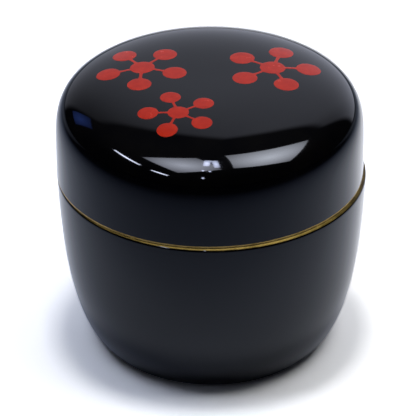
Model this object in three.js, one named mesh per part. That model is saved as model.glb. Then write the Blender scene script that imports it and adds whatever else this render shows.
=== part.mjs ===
// Tea caddy of the natsume kind: two thin-walled pieces turned from wood and lacquered.
// The body has an upright collar at its mouth, and the domed lid drops over the collar
// and rests on the ledge around it. Millimetres, +Z up, and the origin is the centre of
// the foot, on the surface that the caddy stands on.
import * as THREE from 'three';

// Outside sizes. Body and lid are both drawn from the seam, the plane where they meet.
const bodyRadius = 35; // at the seam, where the body is widest
const seamHeight = 42; // from the surface below the foot up to the seam
const lidHeight = 23.7; // from the seam up to the top of the dome
const lidSetback = 0.23; // the lid's rim is smaller than the ledge by this

// Walls and layers.
const coat = 0.3; // lacquer with its ground, inside and out
const lidWall = 1.8; // wood of the lid
const collarWall = 1.3; // wood of the collar
const collarPlay = 0.45; // gap all round between the lid's bore and the collar
const lidTouchGap = 0.07; // what is left of that gap where the lid lies over to one side
const collarHeight = 9; // how far the collar stands up into the lid
const collarHeadroom = 1; // straight bore of the lid above the collar
const floorWall = 3.2; // wood under the tea chamber, above the underside's hollow
const goldBand = 0.5; // height of the gold line on each side of the seam
const footRingWidth = 3; // flat ring that the caddy stands on
const footHollow = 0.6; // depth of the underside's hollow inside that ring

// The red blossoms, each a centre disc and five petal discs on spokes. Their places and
// petal reaches are in lid radii, because they are painted to fill the lid's top.
const petals = 5;
const petalShare = 0.345; // radius of a petal disc, in petal reaches
const centreShare = 0.355; // radius of the centre disc, in petal reaches
const spokeShare = 0.11; // width of a spoke, in petal reaches
const paintThickness = 0.15;
const paintGap = 0.1; // clears the flat facets of the dome below the paint
const blossoms = [
  { name: 'plum_blossom_left', fromAxis: 0.452, bearing: 163.4, turn: -22, reach: 0.225 },
  { name: 'plum_blossom_right', fromAxis: 0.423, bearing: 16.2, turn: 3, reach: 0.232 },
  { name: 'plum_blossom_front', fromAxis: 0.5, bearing: 246.7, turn: 33.3, reach: 0.191 },
];

// Fineness of the turned surfaces.
const turnedSides = 36;
const domeSteps = 14;
const sideSteps = 8;
const hollowSteps = 8;

// Sizes that follow from the ones above.
const lidRadius = bodyRadius - lidSetback;
const lidBore = lidRadius - lidWall - 2 * coat;
const collarRadius = lidBore - collarPlay;
const mouthRadius = collarRadius - collarWall - 2 * coat;
const lidShift = lidTouchGap - collarPlay;
const boreDepth = collarHeight + collarHeadroom;
const lidHollowHeight = lidHeight - lidWall - 2 * coat - boreDepth;
const chamberDepth = seamHeight - footHollow - floorWall - 2 * coat;

// Every outline is a superellipse, (r / radius)^across + (h / height)^along = 1. Its h
// starts at base and runs away from the seam: up in the lid, down in the body.
const lidCurve = { base: 0, radius: lidRadius, height: lidHeight, across: 3.58, along: 6.25 };
const lidHollowCurve = {
  base: boreDepth,
  radius: lidBore,
  height: lidHollowHeight,
  across: 3.58,
  along: 3.7,
};
const bodyCurve = {
  base: 0,
  radius: bodyRadius,
  height: 1.069 * seamHeight,
  across: 7.19,
  along: 1.715,
};
const chamberCurve = { base: 0, radius: mouthRadius, height: chamberDepth, across: 6, along: 2.6 };

const blackLacquer = { color: '#0b0c0f', roughness: 0.1, metalness: 0 };
const turnedWood = { color: '#b98d5e', roughness: 0.75, metalness: 0 };
const goldLacquer = { color: '#a5803a', roughness: 0.35, metalness: 0.9 };
const redLacquer = { color: '#b9271b', roughness: 0.3, metalness: 0 };

const point = (radius, height) => new THREE.Vector2(radius, height);

// The point of an outline at a share of its way from the seam (0) to the axis (1), moved
// square to the outline by inset: positive into the curve, negative out of it. The angle
// is eased at both ends, which keeps even shares about evenly far apart.
function outlinePoint(curve, share, inset) {
  const fromSeam = share ** (curve.along / 2);
  const fromAxis = (1 - share) ** (curve.across / 2);
  const angle = ((Math.PI / 2) * fromSeam) / (fromSeam + fromAxis);
  const r = share === 1 ? 0 : curve.radius * Math.cos(angle) ** (2 / curve.across);
  const h = curve.height * Math.sin(angle) ** (2 / curve.along);
  const outwards = point(
    (curve.across / curve.radius) * (r / curve.radius) ** (curve.across - 1),
    (curve.along / curve.height) * (h / curve.height) ** (curve.along - 1),
  ).normalize();
  return point(r, curve.base + h).addScaledVector(outwards, -inset);
}

// The share of the way at which the inset outline passes a height, by halving.
function shareAtHeight(curve, inset, height) {
  let low = 0;
  let high = 1;
  for (let halving = 0; halving < 50; halving++) {
    const middle = (low + high) / 2;
    if (outlinePoint(curve, middle, inset).y < height) low = middle;
    else high = middle;
  }
  return low;
}

// A stretch of an outline from one height to another; without an end it runs to the axis.
function stretch(curve, inset, steps, startHeight, endHeight) {
  const first = startHeight === curve.base ? 0 : shareAtHeight(curve, inset, startHeight);
  const last = endHeight === undefined ? 1 : shareAtHeight(curve, inset, endHeight);
  return Array.from({ length: steps + 1 }, (_, step) =>
    outlinePoint(curve, first + ((last - first) * step) / steps, inset),
  );
}

// Turns a profile around Z. Whichever way the profile runs, the faces end up outwards.
function turned(profile) {
  const corners = profile[0].x === 0 ? profile : [...profile, profile[0]];
  const clockwise = THREE.ShapeUtils.isClockWise(profile);
  const outwards = clockwise ? [...corners].reverse() : corners;
  return new THREE.LatheGeometry(outwards, turnedSides).rotateX(Math.PI / 2);
}

// Heights on the body count down from the seam, so its profiles are turned upside down.
const turnedBelow = (profile) => turned(profile.map(({ x, y }) => point(x, -y)));

// A hollow from its mouth to the axis: a straight wall, then its curve. The wood's face of
// it lies one coat further out than the finished one.
const hollow = (curve, inset, mouthHeight) => [
  point(curve.radius - inset, mouthHeight),
  ...stretch(curve, inset, hollowSteps, curve.base),
];

// The outlines that two pieces share.
const lidCoatBack = stretch(lidCurve, coat, domeSteps, goldBand);
const lidHollowWood = hollow(lidHollowCurve, -coat, coat);
const bodyCoatBack = stretch(bodyCurve, coat, sideSteps, goldBand, seamHeight - coat);
const chamberWood = hollow(chamberCurve, -coat, coat - collarHeight);
const lidWoodBore = lidBore + coat;
const collarWoodRadius = collarRadius - coat;
const footEdge = outlinePoint(bodyCurve, shareAtHeight(bodyCurve, 0, seamHeight), 0);
const footWoodEdge = bodyCoatBack.at(-1);

// The underside from its edge to the axis: the flat ring, a short slope and the hollow.
function underside(edge, standOff) {
  const ringInside = footEdge.x - footRingWidth;
  const level = seamHeight - standOff;
  return [
    edge,
    point(ringInside, level),
    point(ringInside - footHollow, level - footHollow),
    point(0, level - footHollow),
  ];
}

// Body: the turned wood with its collar, and the layers on it.
function bodyCore() {
  return turnedBelow([
    ...[...chamberWood].reverse(),
    point(collarWoodRadius, coat - collarHeight),
    point(collarWoodRadius, coat),
    point(bodyRadius - coat, coat),
    ...bodyCoatBack.slice(0, -1),
    ...underside(footWoodEdge, coat),
  ]);
}

function bodyOuterCoat() {
  const face = stretch(bodyCurve, 0, sideSteps, goldBand, seamHeight);
  return turnedBelow([...face, ...[...bodyCoatBack].reverse()]);
}

function bodyInnerCoat() {
  return turnedBelow([
    ...hollow(chamberCurve, 0, -collarHeight).reverse(),
    point(collarRadius, -collarHeight),
    point(collarRadius, 0),
    point(collarWoodRadius, 0),
    point(collarWoodRadius, coat - collarHeight),
    ...chamberWood,
  ]);
}

function undersideCoat() {
  const face = underside(footEdge, 0);
  const back = underside(footWoodEdge, coat);
  return turnedBelow([...[...back].reverse(), ...face]);
}

// Gold rims: each wraps the edge at the seam, with a flat on the seam and a band outside.
function goldRim(curve, innerRadius) {
  const bandTop = outlinePoint(curve, shareAtHeight(curve, 0, goldBand), 0);
  const bandBack = outlinePoint(curve, shareAtHeight(curve, coat, goldBand), coat);
  return [
    point(innerRadius, 0),
    point(curve.radius, 0),
    bandTop,
    bandBack,
    point(curve.radius - coat, coat),
    point(innerRadius, coat),
  ];
}

// Lid: the turned wood, and the layers on it.
function lidCore() {
  return turned([...[...lidHollowWood].reverse(), point(lidRadius - coat, coat), ...lidCoatBack]);
}

function lidOuterCoat() {
  const face = stretch(lidCurve, 0, domeSteps, goldBand);
  return turned([...[...lidCoatBack].reverse(), ...face]);
}

function lidInnerCoat() {
  return turned([...hollow(lidHollowCurve, 0, 0).reverse(), point(lidWoodBore, 0), ...lidHollowWood]);
}

// One blossom, flat: round each petal disc, then along the centre disc to the next spoke.
function blossomShape(reach) {
  const petalRadius = petalShare * reach;
  const centreRadius = centreShare * reach;
  const halfSpoke = (spokeShare * reach) / 2;
  const petalCut = Math.asin(halfSpoke / petalRadius);
  const centreCut = Math.asin(halfSpoke / centreRadius);
  const shape = new THREE.Shape();
  for (let petal = 0; petal < petals; petal++) {
    const angle = (petal * 2 * Math.PI) / petals;
    const nextAngle = angle + (2 * Math.PI) / petals;
    const x = reach * Math.cos(angle);
    const y = reach * Math.sin(angle);
    shape.absarc(x, y, petalRadius, angle + Math.PI + petalCut, angle + 3 * Math.PI - petalCut);
    shape.absarc(0, 0, centreRadius, angle + centreCut, nextAngle - centreCut);
  }
  return shape;
}

// Lays the flat blossom on the dome, each of its corners raised to the dome's height.
function blossomOnDome({ fromAxis, bearing, turn, reach }) {
  const film = new THREE.ExtrudeGeometry(blossomShape(reach * lidRadius), {
    depth: paintThickness,
    bevelEnabled: false,
    curveSegments: 5,
  });
  const direction = THREE.MathUtils.degToRad(bearing);
  film.rotateZ(THREE.MathUtils.degToRad(turn));
  const distance = fromAxis * lidRadius;
  film.translate(distance * Math.cos(direction), distance * Math.sin(direction), paintGap);
  const places = film.getAttribute('position');
  for (let corner = 0; corner < places.count; corner++) {
    const out = Math.hypot(places.getX(corner), places.getY(corner)) / lidCurve.radius;
    const dome = lidCurve.height * (1 - out ** lidCurve.across) ** (1 / lidCurve.along);
    places.setZ(corner, places.getZ(corner) + dome);
  }
  return film;
}

function piece(name, geometry, look) {
  const mesh = new THREE.Mesh(geometry, new THREE.MeshStandardMaterial(look));
  mesh.name = name;
  return mesh;
}

const body = new THREE.Group();
body.add(
  piece('body_core', bodyCore(), turnedWood),
  piece('body_outer_lacquer', bodyOuterCoat(), blackLacquer),
  piece('body_inner_lacquer', bodyInnerCoat(), blackLacquer),
  piece('base_lacquer', undersideCoat(), blackLacquer),
  piece('body_gold_rim', turnedBelow(goldRim(bodyCurve, collarWoodRadius)), goldLacquer),
);

const lid = new THREE.Group();
lid.add(
  piece('lid_core', lidCore(), turnedWood),
  piece('lid_outer_lacquer', lidOuterCoat(), blackLacquer),
  piece('lid_inner_lacquer', lidInnerCoat(), blackLacquer),
  piece('lid_gold_rim', turned(goldRim(lidCurve, lidWoodBore)), goldLacquer),
  ...blossoms.map((blossom) => piece(blossom.name, blossomOnDome(blossom), redLacquer)),
);
lid.position.x = lidShift;

const caddy = new THREE.Group();
caddy.add(body, lid);
caddy.position.z = seamHeight;

export default caddy;
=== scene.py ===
import math

import bmesh
import bpy
from mathutils import Matrix, Vector
from mathutils.geometry import delaunay_2d_cdt


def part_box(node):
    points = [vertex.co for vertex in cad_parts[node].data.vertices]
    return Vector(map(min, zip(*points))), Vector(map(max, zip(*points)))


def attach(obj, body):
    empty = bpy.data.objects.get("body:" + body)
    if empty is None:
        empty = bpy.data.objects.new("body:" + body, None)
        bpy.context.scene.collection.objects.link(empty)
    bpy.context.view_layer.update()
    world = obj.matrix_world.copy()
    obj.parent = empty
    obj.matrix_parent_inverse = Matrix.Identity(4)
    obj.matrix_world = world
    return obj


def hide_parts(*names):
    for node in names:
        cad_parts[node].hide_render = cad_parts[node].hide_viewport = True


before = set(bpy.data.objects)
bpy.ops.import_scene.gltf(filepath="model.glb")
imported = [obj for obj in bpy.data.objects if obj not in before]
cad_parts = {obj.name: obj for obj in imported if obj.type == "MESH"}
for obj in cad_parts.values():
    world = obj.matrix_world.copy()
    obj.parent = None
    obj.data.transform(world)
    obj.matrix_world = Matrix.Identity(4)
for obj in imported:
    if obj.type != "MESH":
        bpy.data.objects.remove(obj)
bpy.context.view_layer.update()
scene = bpy.context.scene
MM = 0.001


# ---- Camera ----------------------------------------------------------------------------
# A long lens looks down on the caddy from the front, so that the lid's top shows as an
# oval. Its place and aim are counted from the middle of the seam, in radii of the body.
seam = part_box("body_gold_rim")[1][2]
body_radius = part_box("body_gold_rim")[1][0]
seam_middle = Vector((0, 0, seam))
camera_place = Vector((0, -16.779, 9.807))
camera_aim = Vector((-0.0249, 0, -0.3043))
camera_roll = -0.0048  # radians

camera_data = bpy.data.cameras.new("camera")
camera_data.sensor_width = 36
camera_data.lens = 259.6
camera_data.clip_start = 0.01
camera = bpy.data.objects.new("camera", camera_data)
camera.location = seam_middle + camera_place * body_radius
aim = seam_middle + camera_aim * body_radius
looking = (aim - camera.location).to_track_quat("-Z", "Y").to_matrix().to_4x4()
roll = Matrix.Rotation(camera_roll, 4, "Z")
camera.matrix_world = Matrix.Translation(camera.location) @ looking @ roll
scene.collection.objects.link(camera)
scene.camera = camera
scene.view_settings.view_transform = "Standard"


# ---- Body: the turned wood ---------------------------------------------------------------
# A thin-walled bowl with an upright collar at its mouth, turned on a lathe from one block
# of seasoned horse chestnut. It is covered all over, and its layers follow its shape.
inner_coat_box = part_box("body_inner_lacquer")
foot_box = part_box("base_lacquer")
coat = body_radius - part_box("body_core")[1][0]
collar_radius = inner_coat_box[1][0]
collar_top = inner_coat_box[1][2]
collar_thickness = 1.9 * MM  # its wood and the lacquer on both of its faces
mouth_radius = collar_radius - collar_thickness
chamber_floor = inner_coat_box[0][2] + coat
foot_radius = foot_box[1][0]
foot_hollow = foot_box[1][2] - coat
foot_ring_width = 3 * MM
ledge_round = 1.0 * MM
collar_round = 0.6 * MM
foot_round = 0.8 * MM
foot_lean = 49  # degrees below level that the side faces where it meets the foot
# The side and the chamber are superellipses, (r / radius)^across + (h / height)^along = 1,
# with h counted down from the seam. The side's one would close a little below the foot.
side_height = 1.069 * seam
side_across, side_along = 7.19, 1.715
chamber_height = seam - chamber_floor
chamber_across, chamber_along = 6, 2.6


def outline(radius, height, across, along, inset=0.0, start=0.0, end=None, count=48):
    """Points (r, h) of a superellipse moved square inwards by inset, from height start to
    height end, or to the axis."""

    def at(share):
        from_rim, from_axis = share ** (along / 2), (1 - share) ** (across / 2)
        angle = math.pi / 2 * from_rim / (from_rim + from_axis)
        r = 0.0 if share == 1 else radius * math.cos(angle) ** (2 / across)
        h = height * math.sin(angle) ** (2 / along)
        out_r = across / radius * (r / radius) ** (across - 1)
        out_h = along / height * (h / height) ** (along - 1)
        length = math.hypot(out_r, out_h)
        return r - inset * out_r / length, h - inset * out_h / length

    def share_at(h):
        low, high = 0.0, 1.0
        for _ in range(50):
            middle = (low + high) / 2
            low, high = (middle, high) if at(middle)[1] < h else (low, middle)
        return low

    first = share_at(start) if start > 0 else 0.0
    last = 1.0 if end is None else share_at(end)
    return [at(first + (last - first) * i / count) for i in range(count + 1)]


def arc(centre, radius, start, end, count=8):
    """Points of a rounded edge; angles in degrees, 0 outwards and 90 upwards."""
    angles = [math.radians(start + (end - start) * i / count) for i in range(count + 1)]
    return [(centre[0] + radius * math.cos(a), centre[1] + radius * math.sin(a)) for a in angles]


def body_side(inset, start, end, count=56):
    """The body's side as (r, z), between two depths below the seam."""
    side = outline(body_radius, side_height, side_across, side_along, inset, start, end, count)
    return [(r, seam - h) for r, h in side]


ledge_centre = body_side(ledge_round, ledge_round, seam / 2)[0]
foot_centre = body_side(foot_round, ledge_round, seam - foot_round)[-1]


def ledge_edge(inset, start, end):
    """The rounded edge between the ledge and the side."""
    return arc(ledge_centre, ledge_round - inset, start, end)


def side_to_foot(inset):
    """The side from below its rounded top edge to the flat that it stands on."""
    reach = (foot_round - inset) * math.sin(math.radians(foot_lean))
    return [
        *body_side(inset, ledge_round, seam - foot_round + reach)[1:],
        *arc(foot_centre, foot_round - inset, -foot_lean, -90, 5)[1:],
    ]


def underside(inset):
    """The flat ring that stands and the shallow hollow inside it, from the ring inwards."""
    cove = foot_hollow / 2
    ring_inside = foot_radius - foot_ring_width
    return [
        *arc((ring_inside, inset + cove), cove, -90, -180, 4),
        *arc((ring_inside - 2 * cove, inset + cove), cove, 0, 90, 4)[1:],
        (0, inset + foot_hollow),
    ]


def collar(inset, foot_level):
    """Up the outside of the collar from a level, and over its rim to the mouth."""
    top, rim = collar_top - collar_round, collar_round - inset
    return [
        (collar_radius - inset, foot_level),
        *arc((collar_radius - collar_round, top), rim, 0, 90, 5),
        *arc((mouth_radius + collar_round, top), rim, 90, 180, 5),
    ]


def chamber(inset):
    """The tea chamber from the seam down to the middle of its floor."""
    side = outline(mouth_radius, chamber_height, chamber_across, chamber_along, -inset)
    return [(r, seam - h) for r, h in side]


def fitted(name, data, body, node, material):
    """A finished mesh as a piece that stands for a CAD node and rides on its body."""
    piece = bpy.data.objects.new(name, data)
    scene.collection.objects.link(piece)
    data.materials.append(material)
    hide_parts(node)
    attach(piece, body)


def turned(name, section, body, node, material, axis_x=0.0, sides=144):
    """Turns a section of (r, z) about a vertical axis: it runs from axis to axis, or closes
    on itself. It is put in anticlockwise order, so that the faces look outwards."""
    closes = section[0][0] > 0
    edges = zip(section, section[1:] + section[:1])
    twice_area = sum(a[0] * b[1] - b[0] * a[1] for a, b in edges)
    if twice_area < 0:
        section = section[::-1]
    mesh = bmesh.new()
    angles = [2 * math.pi * side / sides for side in range(sides)]
    rings = []
    for r, z in section:
        if r == 0:
            rings.append([mesh.verts.new((axis_x, 0, z))] * sides)
        else:
            circle = [(axis_x + r * math.cos(a), r * math.sin(a), z) for a in angles]
            rings.append([mesh.verts.new(point) for point in circle])
    strips = list(zip(rings, rings[1:]))
    if closes:
        strips.append((rings[-1], rings[0]))
    for low, high in strips:
        for side in range(sides):
            after = (side + 1) % sides
            corners = dict.fromkeys((low[side], low[after], high[after], high[side]))
            if len(corners) > 2:
                mesh.faces.new(list(corners))
    data = bpy.data.meshes.new(name)
    mesh.to_mesh(data)
    mesh.free()
    data.shade_smooth()
    data.set_sharp_from_angle(angle=math.radians(35))
    fitted(name, data, body, node, material)


def linear(hex_colour):
    """An sRGB hex colour as linear RGBA."""
    channels = [int(hex_colour[i : i + 2], 16) / 255 for i in (1, 3, 5)]
    return [c / 12.92 if c <= 0.04045 else ((c + 0.055) / 1.055) ** 2.4 for c in channels] + [1]


def add(tree, kind, inputs=None, stops=(), **settings):
    """Adds a node with its settings and links. An input is a value, or (node, output) for a
    link, and a ramp's stops are positions and hex colours."""
    node = tree.nodes.new(kind)
    for name, value in settings.items():
        setattr(node, name, value)
    for number, (position, hex_colour) in enumerate(stops):
        made = node.color_ramp.elements
        stop = made[number] if number < 2 else made.new(position)
        stop.position, stop.color = position, linear(hex_colour)
    for name, value in (inputs or {}).items():
        if isinstance(value, tuple) and isinstance(value[0], bpy.types.Node):
            tree.links.new(value[0].outputs[value[1]], node.inputs[name])
        else:
            node.inputs[name].default_value = value
    return node


def finish_material(name, colour, shader_values):
    """A material with its Principled shader set, and the point where its textures start."""
    material = bpy.data.materials.new(name)
    material.use_nodes = True
    material.diffuse_color = linear(colour)
    tree = material.node_tree
    shader = tree.nodes["Principled BSDF"]
    for socket, value in shader_values.items():
        shader.inputs[socket].default_value = value
    return material, tree, shader, (add(tree, "ShaderNodeTexCoord"), "Object")


# Horse chestnut off the lathe: pale and matt, with soft growth rings about 1.6 mm apart
# and a fine short grain. The bands of a wave texture lie 2 pi / 20 apart at a scale of 1.
turned_wood, tree, shader, place = finish_material(
    "turned_horse_chestnut", "#b78f5f", {"Roughness": 0.65}
)
growth_spacing = 1.6 * MM
growth = add(
    tree,
    "ShaderNodeTexWave",
    {
        "Vector": place,
        "Scale": 2 * math.pi / (20 * growth_spacing),
        "Distortion": 4,
        "Detail": 2,
    },
    bands_direction="X",
)
grain = add(tree, "ShaderNodeTexNoise", {"Vector": place, "Scale": 1 / (0.4 * MM), "Detail": 4})
tone = add(tree, "ShaderNodeMath", {0: (growth, "Fac"), 1: (grain, "Fac")}, operation="MULTIPLY")
colour = add(
    tree, "ShaderNodeValToRGB", {"Fac": (tone, "Value")}, [(0.0, "#c6a06f"), (0.6, "#a67b4c")]
)
bump = add(
    tree, "ShaderNodeBump", {"Height": (grain, "Fac"), "Strength": 0.4, "Distance": 0.05 * MM}
)
tree.links.new(colour.outputs["Color"], shader.inputs["Base Color"])
tree.links.new(bump.outputs["Normal"], shader.inputs["Normal"])

body_wood_section = [
    *chamber(coat)[::-1],
    *collar(coat, seam - coat)[::-1],
    *ledge_edge(coat, 90, 0),
    *side_to_foot(coat),
    *underside(coat),
]
turned(
    "body_wood", body_wood_section, "caddy_body", "body_core", turned_wood, sides=96
)


# ---- Body: the black lacquer outside -----------------------------------------------------
# Many coats of black urushi over a fine clay ground, each rubbed down with charcoal, and
# the last one polished by hand with powdered horn until it mirrors the room.
gold_end = 31  # degrees round the ledge's edge where its gold stops

# Roiro-polished urushi: nearly black with a breath of brown in its depth, a clear and very
# slightly wavy reflection, and a faint haze left by hand polishing.
black_lacquer, tree, shader, place = finish_material(
    "roiro_polished_urushi", "#050507", {"Roughness": 0.045, "IOR": 1.5}
)
depth = add(tree, "ShaderNodeTexNoise", {"Vector": place, "Scale": 1 / (7 * MM), "Detail": 3})
colour = add(
    tree, "ShaderNodeValToRGB", {"Fac": (depth, "Fac")}, [(0.3, "#020204"), (0.7, "#070606")]
)
haze = add(
    tree,
    "ShaderNodeMapRange",
    {"Value": (depth, "Fac"), "From Min": 0.3, "From Max": 0.7, "To Min": 0.035, "To Max": 0.065},
)
wave = add(tree, "ShaderNodeTexNoise", {"Vector": place, "Scale": 1 / (11 * MM), "Detail": 1})
bump = add(
    tree, "ShaderNodeBump", {"Height": (wave, "Fac"), "Strength": 0.5, "Distance": 0.04 * MM}
)
tree.links.new(colour.outputs["Color"], shader.inputs["Base Color"])
tree.links.new(haze.outputs["Result"], shader.inputs["Roughness"])
tree.links.new(bump.outputs["Normal"], shader.inputs["Normal"])

body_lacquer_section = [
    *ledge_edge(0, gold_end, 0),
    *side_to_foot(0),
    *side_to_foot(coat)[::-1],
    *ledge_edge(coat, 0, gold_end),
]
turned(
    "body_outside_lacquer",
    body_lacquer_section,
    "caddy_body",
    "body_outer_lacquer",
    black_lacquer,
)


# ---- Body: the lacquer on the underside --------------------------------------------------
# The same black urushi on the flat ring that the caddy stands on and in the shallow
# hollow inside the ring. It is polished less, and the ring is a little dulled by use.
underside_lacquer, tree, shader, place = finish_material(
    "rubbed_black_urushi", "#0c0b0c", {"Roughness": 0.2, "IOR": 1.5}
)
scuffs = add(tree, "ShaderNodeTexNoise", {"Vector": place, "Scale": 1 / (1.5 * MM), "Detail": 5})
dulled = add(
    tree,
    "ShaderNodeMapRange",
    {"Value": (scuffs, "Fac"), "From Min": 0.35, "From Max": 0.7, "To Min": 0.14, "To Max": 0.34},
)
colour = add(
    tree, "ShaderNodeValToRGB", {"Fac": (scuffs, "Fac")}, [(0.35, "#0a0a0b"), (0.75, "#171516")]
)
tree.links.new(dulled.outputs["Result"], shader.inputs["Roughness"])
tree.links.new(colour.outputs["Color"], shader.inputs["Base Color"])

ring_outside = foot_centre[0]
turned(
    "underside_lacquer",
    [*underside(0)[::-1], (ring_outside, 0.0), (ring_outside, coat), *underside(coat)],
    "caddy_body",
    "base_lacquer",
    underside_lacquer,
)


# ---- Body: the lacquer inside ------------------------------------------------------------
# Black urushi over the collar, its rim and the whole tea chamber. It is brushed on while
# the body turns, and left as brushed, so that it is softer than the outside.
inner_lacquer, tree, shader, place = finish_material(
    "brushed_black_urushi", "#0b0a0a", {"Roughness": 0.12, "IOR": 1.5}
)
# Brush lines run round the piece, about 0.9 mm apart.
across_lines = add(
    tree,
    "ShaderNodeMapping",
    {"Vector": place, "Scale": (0.06, 0.06, 1.0)},
)
brushing = add(
    tree,
    "ShaderNodeTexNoise",
    {"Vector": (across_lines, "Vector"), "Scale": 1 / (0.9 * MM), "Detail": 2},
)
bump = add(
    tree, "ShaderNodeBump", {"Height": (brushing, "Fac"), "Strength": 0.35, "Distance": 0.02 * MM}
)
colour = add(
    tree, "ShaderNodeValToRGB", {"Fac": (brushing, "Fac")}, [(0.3, "#080708"), (0.7, "#110e0e")]
)
softness = add(
    tree,
    "ShaderNodeMapRange",
    {"Value": (brushing, "Fac"), "From Min": 0.3, "From Max": 0.7, "To Min": 0.09, "To Max": 0.16},
)
tree.links.new(colour.outputs["Color"], shader.inputs["Base Color"])
tree.links.new(softness.outputs["Result"], shader.inputs["Roughness"])
tree.links.new(bump.outputs["Normal"], shader.inputs["Normal"])

turned(
    "body_inside_lacquer",
    [*chamber(0)[::-1], *collar(0, seam)[::-1], *collar(coat, seam), *chamber(coat)],
    "caddy_body",
    "body_inner_lacquer",
    inner_lacquer,
)


# ---- Body: the gold edge -----------------------------------------------------------------
# Gold powder sifted onto wet lacquer on the ledge and its rounded edge, then sealed and
# polished. It shows as the lower of the two gold lines at the seam.


def sprinkled_gold(name, brown, middle, bright, smooth, dull):
    """Gold powder on lacquer: half-polished metal with a fine grain of 0.15 mm powder, browner
    where it is thin and the lacquer below shows through."""
    material, tree, shader, place = finish_material(name, middle, {"Metallic": 1.0})
    powder = add(tree, "ShaderNodeTexVoronoi", {"Vector": place, "Scale": 1 / (0.15 * MM)})
    wear = add(tree, "ShaderNodeTexNoise", {"Vector": place, "Scale": 1 / (2.5 * MM), "Detail": 4})
    mixed = add(
        tree,
        "ShaderNodeMath",
        {0: (powder, "Distance"), 1: 0.5, 2: (wear, "Fac")},
        operation="MULTIPLY_ADD",
    )
    gold_stops = [(0.35, brown), (0.6, middle), (1.0, bright)]
    colour = add(tree, "ShaderNodeValToRGB", {"Fac": (mixed, "Value")}, gold_stops)
    relief = {"Height": (powder, "Distance"), "Strength": 0.5, "Distance": 0.02 * MM}
    bump = add(tree, "ShaderNodeBump", relief)
    span = {"From Min": 0.3, "From Max": 0.7, "To Min": smooth, "To Max": dull}
    rubbed = add(tree, "ShaderNodeMapRange", {"Value": (wear, "Fac"), **span})
    tree.links.new(colour.outputs["Color"], shader.inputs["Base Color"])
    tree.links.new(rubbed.outputs["Result"], shader.inputs["Roughness"])
    tree.links.new(bump.outputs["Normal"], shader.inputs["Normal"])
    return material


# The ledge's gold is a browner, darker copy of the lid's, as painted shade for the ledge lying
# under the lid's edge; it is also rougher.
shaded_ledge_gold = sprinkled_gold("shaded_sprinkled_gold", "#2c230c", "#4d3f1b", "#766230", 0.42, 0.58)
collar_wood_radius = collar_radius - coat
body_gold_section = [
    (collar_wood_radius, seam),
    *ledge_edge(0, 90, gold_end),
    *ledge_edge(coat, gold_end, 90),
    (collar_wood_radius, seam - coat),
]
turned(
    "body_gold_edge",
    body_gold_section,
    "caddy_body",
    "body_gold_rim",
    shaded_ledge_gold,
    sides=192,
)


# ---- Lid: the turned wood ----------------------------------------------------------------
# A thin domed cap turned from the same block as the body. It drops over the collar with a
# little play and lies over to one side, so its axis is set off from the body's.
lid_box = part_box("lid_outer_lacquer")
lid_x = (lid_box[0][0] + lid_box[1][0]) / 2
lid_radius = (lid_box[1][0] - lid_box[0][0]) / 2
lid_height = lid_box[1][2] - seam
hollow_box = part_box("lid_inner_lacquer")
lid_bore = (hollow_box[1][0] - hollow_box[0][0]) / 2 - coat
collar_headroom = 1 * MM
hollow_start = collar_top - seam + collar_headroom
hollow_height = hollow_box[1][2] - coat - seam - hollow_start
gold_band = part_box("lid_gold_rim")[1][2] - seam
# The dome and the hollow are superellipses too, with h counted up.
dome_across, dome_along = 3.58, 6.25
hollow_across, hollow_along = 3.58, 3.7


def lid_side(inset, start, end=None, count=96):
    """The lid's outside as (r, z), from a height above the seam to another or to the axis."""
    side = outline(lid_radius, lid_height, dome_across, dome_along, inset, start, end, count)
    return [(r, seam + h) for r, h in side]


def lid_hollow(inset):
    """The lid's hollow, from the top of its straight bore to the axis."""
    side = outline(lid_bore, hollow_height, hollow_across, hollow_along, -inset)
    return [(r, seam + hollow_start + h) for r, h in side]


lid_wood_section = [
    *lid_hollow(coat)[::-1],
    (lid_bore + coat, seam + coat),
    (lid_radius - coat, seam + coat),
    *lid_side(coat, gold_band),
]
turned("lid_wood", lid_wood_section, "lid", "lid_core", turned_wood, lid_x, sides=96)


# ---- Lid: the black lacquer outside and inside -------------------------------------------
# The same polished black urushi over the dome and the side, down to the gold line, and
# the same brushed one in the hollow, with a small round at the mouth.
turned(
    "lid_outside_lacquer",
    [*lid_side(0, gold_band), *lid_side(coat, gold_band)[::-1]],
    "lid",
    "lid_outer_lacquer",
    black_lacquer,
    lid_x,
)

lid_mouth = (lid_bore + coat, seam + coat)
turned(
    "lid_inside_lacquer",
    [*lid_hollow(0)[::-1], *arc(lid_mouth, coat, 180, 270, 4), *lid_hollow(coat)],
    "lid",
    "lid_inner_lacquer",
    inner_lacquer,
    lid_x,
)


# ---- Lid: the gold edge ------------------------------------------------------------------
# The same sprinkled gold on the lid's flat, which rests on the ledge, and on a narrow band
# round the outside. Its corner is rounded by one coat's thickness.
edge_gold = sprinkled_gold("polished_sprinkled_gold", "#7d6028", "#b08d48", "#d6b46c", 0.28, 0.42)
lid_corner = (lid_radius - coat, seam + coat)
lid_gold_section = [
    (lid_bore + coat, seam),
    *arc(lid_corner, coat, 270, 360, 5),
    *lid_side(0, coat, gold_band, 2)[1:],
    *lid_side(coat, coat, gold_band, 2)[::-1],
    (lid_bore + coat, seam + coat),
]
turned(
    "lid_gold_edge",
    lid_gold_section,
    "lid",
    "lid_gold_rim",
    edge_gold,
    lid_x,
    sides=192,
)


# ---- Plum blossoms -----------------------------------------------------------------------
# Three blossoms in red lacquer on the lid's top, each a centre disc and five petal discs
# joined by thin spokes. They are painted over the polished black and stand a little proud.
petal_count = 5
petal_share = 0.345  # radius of a petal disc, in reaches of a petal from the middle
centre_share = 0.355  # radius of the centre disc
spoke_share = 0.11  # width of a spoke at its ends
spoke_waist = 0.75  # how much of that is left halfway along it
film_height = 0.02 * MM
film_slope = 0.12 * MM  # width of each of the two slopes at the film's edge
film_sunk = 0.1 * MM  # how deep its back lies in the black
net_spacing = 0.55 * MM  # of the points that carry the film over the dome
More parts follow.
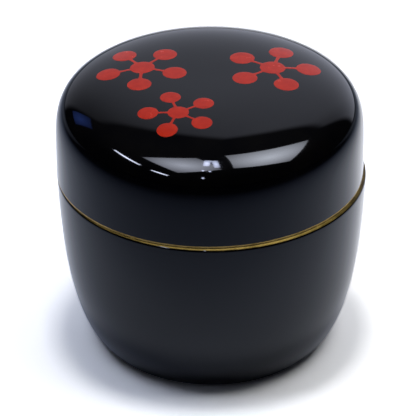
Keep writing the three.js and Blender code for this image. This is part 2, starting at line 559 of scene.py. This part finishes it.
# Name, CAD node, distance from the axis in lid radii, bearing and turn in degrees, reach
# from the centre disc's middle to a petal's in lid radii.
blossoms = [
    ("left_blossom", "plum_blossom_left", 0.452, 163.4, -22, 0.225),
    ("right_blossom", "plum_blossom_right", 0.423, 16.2, 3, 0.232),
    ("front_blossom", "plum_blossom_front", 0.5, 246.7, 33.3, 0.191),
]


def blossom_outline(reach, shrink):
    """The blossom's edge, flat and centred, moved inwards by shrink."""
    petal, centre = petal_share * reach - shrink, centre_share * reach - shrink
    half = spoke_share * reach / 2 - shrink
    petal_cut, centre_cut = [math.degrees(math.asin(half / disc)) for disc in (petal, centre)]
    near = centre * math.cos(math.radians(centre_cut))
    far = reach - petal * math.cos(math.radians(petal_cut))
    spoke = []
    for step in range(1, 8):
        share = step / 8
        width = half * (1 - (1 - spoke_waist) * math.sin(math.pi * share))
        spoke.append((near + (far - near) * share, width))
    one_petal = [
        *[(x, -y) for x, y in spoke],
        *arc((reach, 0), petal, petal_cut - 180, 180 - petal_cut, 40),
        *spoke[::-1],
        *arc((0, 0), centre, centre_cut, 360 / petal_count - centre_cut),
    ]
    edge = []
    for number in range(petal_count):
        turn = Matrix.Rotation(2 * math.pi * number / petal_count, 2)
        edge += [turn @ Vector(point) for point in one_petal]
    return edge


def dome(x, y):
    """Height of the lid's outside over a point, and the upward part of its normal."""
    share = math.hypot(x - lid_x, y) / lid_radius
    rise = lid_height * (1 - share**dome_across) ** (1 / dome_along)
    out_r = dome_across / lid_radius * share ** (dome_across - 1)
    out_h = dome_along / lid_height * (rise / lid_height) ** (dome_along - 1)
    return seam + rise, out_h / math.hypot(out_r, out_h)


def blossom_mesh(name, from_axis, bearing, turn, reach):
    """A closed film that follows the dome: its top, a sloped edge, and a back in the lacquer."""
    rises = [0.0, 0.7, 1.0]  # of the film's height, at its edge, its shoulder and its flat
    rings = [blossom_outline(reach, film_slope * number) for number in range(len(rises))]
    count = len(rings[0])
    borders = []
    for first in (0, count, 2 * count):
        borders += [[first + i, first + (i + 1) % count] for i in range(count)]
    discs = [(Vector((0, 0)), centre_share * reach)]
    for number in range(petal_count):
        middle = Matrix.Rotation(2 * math.pi * number / petal_count, 2) @ Vector((reach, 0))
        discs.append((middle, petal_share * reach))
    half_net = int((1 + petal_share) * reach / net_spacing) + 1
    net = []
    for column in range(-half_net, half_net + 1):
        for row in range(-half_net, half_net + 1):
            point = Vector(((column + row % 2 / 2) * net_spacing, row * net_spacing))
            if any((point - middle).length < radius - 4 * film_slope for middle, radius in discs):
                net.append(point)
    flats = [*rings[0], *rings[1], *rings[2], *net]
    points, _, faces, *_ = delaunay_2d_cdt(flats, borders, [list(range(count))], 1, 1e-7)
    mesh = bmesh.new()
    direction = math.radians(bearing)
    middle = Vector((lid_x + from_axis * math.cos(direction), from_axis * math.sin(direction)))
    tops, backs = [], []
    for number, flat in enumerate(points):
        x, y = Matrix.Rotation(math.radians(turn), 2) @ flat + middle
        level, upward = dome(x, y)
        rise = film_height * rises[min(number // count, len(rises) - 1)]
        tops.append(mesh.verts.new((x, y, level + rise / upward)))
        backs.append(mesh.verts.new((x, y, level - film_sunk)))
    for face in faces:
        mesh.faces.new([tops[i] for i in face])
        mesh.faces.new([backs[i] for i in reversed(face)])
    for i in range(count):
        after = (i + 1) % count
        mesh.faces.new([tops[after], tops[i], backs[i], backs[after]])
    bmesh.ops.recalc_face_normals(mesh, faces=mesh.faces)
    data = bpy.data.meshes.new(name)
    mesh.to_mesh(data)
    mesh.free()
    data.shade_smooth()
    data.set_sharp_from_angle(angle=math.radians(50))
    return data


# Red lacquer: cinnabar ground into urushi and brushed on thick. It is opaque and warm,
# glossy but softer than the black, and slightly cloudy from the pigment.
cinnabar_lacquer, tree, shader, place = finish_material(
    "cinnabar_red_urushi", "#bd2c12", {"Roughness": 0.2, "IOR": 1.5, "Specular IOR Level": 0.3}
)
cloud = add(tree, "ShaderNodeTexNoise", {"Vector": place, "Scale": 1 / (1.8 * MM), "Detail": 5})
colour = add(
    tree, "ShaderNodeValToRGB", {"Fac": (cloud, "Fac")}, [(0.3, "#b2220a"), (0.7, "#c42a0c")]
)
pigment = add(tree, "ShaderNodeTexNoise", {"Vector": place, "Scale": 1 / (0.25 * MM), "Detail": 2})
bump = add(
    tree, "ShaderNodeBump", {"Height": (pigment, "Fac"), "Strength": 0.3, "Distance": 0.01 * MM}
)
sheen = add(
    tree,
    "ShaderNodeMapRange",
    {"Value": (cloud, "Fac"), "From Min": 0.3, "From Max": 0.7, "To Min": 0.17, "To Max": 0.28},
)
tree.links.new(colour.outputs["Color"], shader.inputs["Base Color"])
tree.links.new(sheen.outputs["Result"], shader.inputs["Roughness"])
tree.links.new(bump.outputs["Normal"], shader.inputs["Normal"])

for name, node, from_axis, bearing, turn, reach in blossoms:
    data = blossom_mesh(name, from_axis * lid_radius, bearing, turn, reach * lid_radius)
    fitted(name, data, "lid", node, cinnabar_lacquer)


# ---- Floor -------------------------------------------------------------------------------
# A wide sheet of matt white paper, exposed until it is plain white. For every ray but the
# camera's, a pool of light is painted into the paper's colour, brightest behind the caddy and
# fading to the front and sides, and the lacquer mirrors that painted pool.
floor_half = 3  # metres, half the sheet's width
pool_x, pool_y = 0.03, 0.11  # metres, the middle of the painted pool of light
pool_radius = 0.35  # metres, where the painted pool has faded
exposure = 1.9  # lifts the lit paper to plain white
floor_mesh = bmesh.new()
bmesh.ops.create_grid(floor_mesh, x_segments=8, y_segments=8, size=floor_half)
floor_data = bpy.data.meshes.new("floor")
floor_mesh.to_mesh(floor_data)
floor_mesh.free()
floor = bpy.data.objects.new("floor", floor_data)
floor.location.z = -0.02 * MM
scene.collection.objects.link(floor)

paper = bpy.data.materials.new("matt_white_paper")
paper.use_nodes = True
tree = paper.node_tree
tree.nodes.clear()
place = (add(tree, "ShaderNodeTexCoord"), "Object")
from_pool = add(
    tree, "ShaderNodeMapping", {"Vector": place, "Location": (-pool_x, -pool_y, 0)}
)
# Distance from the pool's middle, counted only to the sides and to the front: the limit of
# 9 m to the right is past the sheet's edge.
in_front = add(
    tree, "ShaderNodeVectorMath", {0: (from_pool, "Vector"), 1: (9, 0, 0)}, operation="MINIMUM"
)
distance = add(tree, "ShaderNodeVectorMath", {0: (in_front, "Vector")}, operation="LENGTH")
out = add(tree, "ShaderNodeMapRange", {"Value": (distance, "Value"), "From Max": pool_radius})
# Shares of the pool's radius, and the light painted into the paper there.
painted_pool_stops = [
    (0.2, "#fbfcff"),
    (0.32, "#c9ccd4"),
    (0.42, "#a2a7b2"),
    (0.55, "#7d8493"),
    (0.7, "#565d6e"),
    (0.85, "#303644"),
    (1.0, "#0e1118"),
]
pool = add(tree, "ShaderNodeValToRGB", {"Fac": (out, "Result")}, painted_pool_stops)
# Far behind, a grey painted into the paper stands for some of the board's light, so the gloss sees
# no gap there.
back = add(tree, "ShaderNodeSeparateXYZ", {"Vector": (from_pool, "Vector")})
far_back = add(
    tree, "ShaderNodeMapRange", {"Value": (back, "Y"), "From Min": 0.05, "From Max": 0.3}
)
# The painted pool and the painted far grey together: light painted into the paper, seen by every
# ray but the camera's.
lit = add(
    tree,
    "ShaderNodeMix",
    {"Factor": (far_back, "Result"), 6: (pool, "Color"), 7: linear("#747a86")},
    data_type="RGBA",
    blend_type="LIGHTEN",
)
sight = add(tree, "ShaderNodeLightPath")
shown = add(
    tree,
    "ShaderNodeMix",
    {"Factor": (sight, "Is Camera Ray"), 6: (lit, 2), 7: [1, 1, 1, 1]},
    data_type="RGBA",
)
exposed = add(
    tree, "ShaderNodeVectorMath", {0: (shown, 2), "Scale": exposure}, operation="SCALE"
)
diffuse = add(tree, "ShaderNodeBsdfDiffuse", {"Color": (exposed, "Vector")})
add(tree, "ShaderNodeOutputMaterial", {"Surface": (diffuse, "BSDF")})
floor_data.materials.append(paper)


# ---- Studio light ------------------------------------------------------------------------
# Soft boxes, strips and small windows a metre from the seam's middle show only in the gloss.
# Four more soft lights only light the caddy and the floor, and the gloss doesn't see them.


def lamp(name, bearing, height, wide, tall, radiance, colour="#ffffff", tilt=0.0, gloss=True):
    """A soft light that spans wide by tall degrees, for gloss only or for lighting only. Its
    bearing counts clockwise from straight behind, and its height from level, in degrees."""
    b, h = math.radians(bearing), math.radians(height)
    way = Vector((math.sin(b) * math.cos(h), math.cos(b) * math.cos(h), math.sin(h)))
    light = bpy.data.lights.new(name, "AREA")
    light.shape = "RECTANGLE"
    light.size = 2 * math.tan(math.radians(wide) / 2)
    light.size_y = 2 * math.tan(math.radians(tall) / 2)
    light.energy = math.pi * radiance * light.size * light.size_y
    light.color = linear(colour)[:3]
    if gloss:  # brighter in its middle than at its corners
        light.use_nodes = True
        tree = light.node_tree
        across = add(tree, "ShaderNodeNewGeometry")
        from_middle = add(
            tree,
            "ShaderNodeVectorMath",
            {0: (across, "Parametric"), 1: (0.5, 0.5, 0.0)},
            operation="DISTANCE",
        )
        falloff = add(
            tree,
            "ShaderNodeMapRange",
            {"Value": (from_middle, "Value"), "From Max": 0.7, "To Min": 1.5, "To Max": 0.35},
        )
        tree.links.new(falloff.outputs["Result"], tree.nodes["Emission"].inputs["Strength"])
    holder = bpy.data.objects.new(name, light)
    facing = (-way).to_track_quat("-Z", "Y").to_matrix().to_4x4()
    turn = Matrix.Rotation(math.radians(tilt), 4, "Z")
    holder.matrix_world = Matrix.Translation(seam_middle + way) @ facing @ turn
    holder.visible_camera = False
    holder.visible_diffuse = not gloss
    holder.visible_glossy = gloss
    scene.collection.objects.link(holder)


lamp("right_box", 115, 57, 40, 40, 8, "#eaf0ff", tilt=43)
lamp("left_box", -153, 57, 32, 38, 6.5, "#e6ecff", tilt=44)
lamp("left_strip", -110, 36, 27, 2.6, 26, "#dfe6ff", tilt=-18)
lamp("left_low_strip", -143, 23, 14, 2.4, 26, "#dfe6ff", tilt=-24)
lamp("high_window_left", -176, 68, 3.4, 17, 17, "#d5deff")
lamp("high_window_right", 172.9, 65, 3.2, 21, 17, "#d5deff")
lamp("small_window_left", -174, 45, 1.5, 4, 20, "#d5deff")
lamp("small_window_right", 180, 43, 1.5, 4, 20, "#d5deff")
lamp("low_window", -175, 22, 1.5, 5, 20, "#d5deff")
lamp("left_sky", -51, 27, 13, 20, 0.7, "#5f86ff")
lamp("overhead_light", 0, 89, 8, 8, 42, gloss=False)
lamp("right_light", 90, 66, 26, 26, 4.2, gloss=False)
lamp("left_light", -90, 66, 26, 26, 3.8, "#e2eaff", gloss=False)
lamp("back_light", 0, 72, 24, 24, 1.0, gloss=False)

# A white board with an arched top stands behind, lit most right of its middle and near the
# floor. The camera sees plain white there, and the gloss sees the board and a dark room.
world = bpy.data.worlds.new("studio")
world.use_nodes = True
scene.world = world
tree = world.node_tree
place = (add(tree, "ShaderNodeTexCoord"), "Generated")
way = add(tree, "ShaderNodeSeparateXYZ", {"Vector": place})
bearing = add(tree, "ShaderNodeMath", {0: (way, "X"), 1: (way, "Y")}, operation="ARCTAN2")
height = add(tree, "ShaderNodeMath", {0: (way, "Z")}, operation="ARCSINE")
from_crown = add(
    tree, "ShaderNodeMath", {0: (bearing, "Value"), 1: math.radians(5)}, operation="SUBTRACT"
)
aside = add(tree, "ShaderNodeMath", {0: (from_crown, "Value")}, operation="ABSOLUTE")
arched = add(
    tree,
    "ShaderNodeMath",
    {0: (aside, "Value"), 1: 0.35, 2: (height, "Value")},
    operation="MULTIPLY_ADD",
)
# Each row multiplies the board's light by a share that changes smoothly along an angle: the
# angle, then one value in degrees with the share there, and another value with its share.
board_light = [
    (bearing, -42, 0.0, -36, 1.0),
    (bearing, 54, 0.0, 47, 1.0),
    (arched, 61, 0.0, 54, 1.0),
    (bearing, -45, 0.12, 20, 0.62),
    (bearing, 28, 1.0, 52, 0.6),
    (height, 36, 0.9, -4, 2.0),
]
board = 1.0
for angle, start, start_share, end, end_share in board_light:
    share = add(
        tree,
        "ShaderNodeMapRange",
        {
            "Value": (angle, "Value"),
            "From Min": math.radians(start),
            "From Max": math.radians(end),
            "To Min": start_share,
            "To Max": end_share,
        },
        interpolation_type="SMOOTHSTEP",
    )
    product = add(tree, "ShaderNodeMath", {0: board, 1: (share, "Result")}, operation="MULTIPLY")
    board = (product, "Value")
room = add(
    tree,
    "ShaderNodeMapRange",
    {
        "Value": (height, "Value"),
        "From Min": math.radians(20),
        "From Max": math.radians(70),
        "To Min": 0.008,
        "To Max": 0.04,
    },
    interpolation_type="SMOOTHSTEP",
)
seen = add(tree, "ShaderNodeMath", {0: board, 1: (room, "Result")}, operation="ADD")
sight = add(tree, "ShaderNodeLightPath")
around = add(
    tree,
    "ShaderNodeMix",
    {"Factor": (sight, "Is Camera Ray"), 2: (seen, "Value"), 3: 1.0},
    data_type="FLOAT",
)
tint = add(
    tree,
    "ShaderNodeMix",
    {"Factor": (sight, "Is Camera Ray"), 6: linear("#e6ebff"), 7: linear("#ffffff")},
    data_type="RGBA",
)
tree.links.new(around.outputs[0], tree.nodes["Background"].inputs["Strength"])
tree.links.new(tint.outputs[2], tree.nodes["Background"].inputs["Color"])
